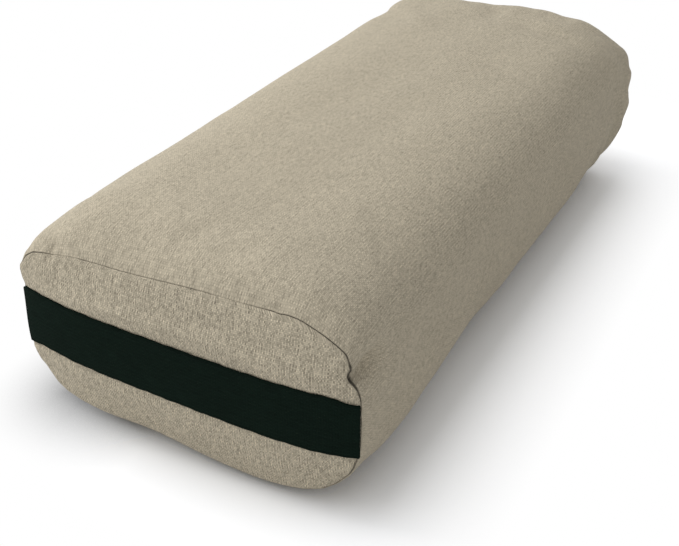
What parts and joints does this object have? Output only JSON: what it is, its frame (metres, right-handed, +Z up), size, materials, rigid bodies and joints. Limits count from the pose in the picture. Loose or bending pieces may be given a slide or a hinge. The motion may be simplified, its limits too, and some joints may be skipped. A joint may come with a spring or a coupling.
{
  "type": "yoga bolster",
  "caption": "Rectangular yoga bolster: firm padded cushion in a sewn linen cover with domed ends, a side zip and a flat webbing carrying handle across the end.",
  "frame": {"origin": "middle of the base, on the floor that the bolster lies on", "axes": "+Y along the length, away from the end with the handle; +X across the width, away from the long side with the zip; +Z up"},
  "size_m": [0.3096, 0.6775, 0.185],
  "materials": {
    "linen": "matte",
    "thread": "satin",
    "webbing": "matte",
    "zip_tape": "matte",
    "zip_coil": "satin",
    "zip_metal": "satin",
    "muslin": "matte",
    "batting": "matte"
  },
  "bodies": {
    "bolster": {"cover_wrap_panel": "linen", "cover_front_panel": "linen", "cover_rear_panel": "linen", "front_seam_thread": "thread", "rear_seam_thread": "thread", "zip_topstitch_thread": "thread", "handle_left_leg": "webbing", "handle_right_leg": "webbing", "zip_tape_upper": "zip_tape", "zip_tape_lower": "zip_tape", "zip_coil_upper": "zip_coil", "zip_coil_lower": "zip_coil", "zip_top_stop_upper": "zip_metal", "zip_top_stop_lower": "zip_metal", "zip_bottom_stop": "zip_metal", "liner_wrap_panel": "muslin", "liner_front_panel": "muslin", "liner_rear_panel": "muslin", "batting_layer_1": "batting", "batting_layer_2": "batting", "batting_layer_3": "batting", "batting_layer_4": "batting", "batting_layer_5": "batting"},
    "handle": {"handle_grip": "webbing"},
    "zip_slider": {"zip_slider": "zip_metal"},
    "zip_pull": {"zip_pull_tab": "zip_metal"}
  },
  "joints": [
    {"name": "handle_lift", "type": "slide", "parent": "bolster", "child": "handle", "axis": [0, -1, 0], "range_m": [0, 0.03], "deforming": ["handle_left_leg", "handle_right_leg"]},
    {"name": "zip_slide", "type": "slide", "parent": "bolster", "child": "zip_slider", "axis": [0, 1, 0], "range_m": [0, 0.4324]},
    {"name": "zip_pull_hinge", "type": "hinge", "parent": "zip_slider", "child": "zip_pull", "pos_m": [-0.15541, -0.2162, 0.089], "axis": [0, 0, 1], "range_deg": [0, 180]}
  ]
}
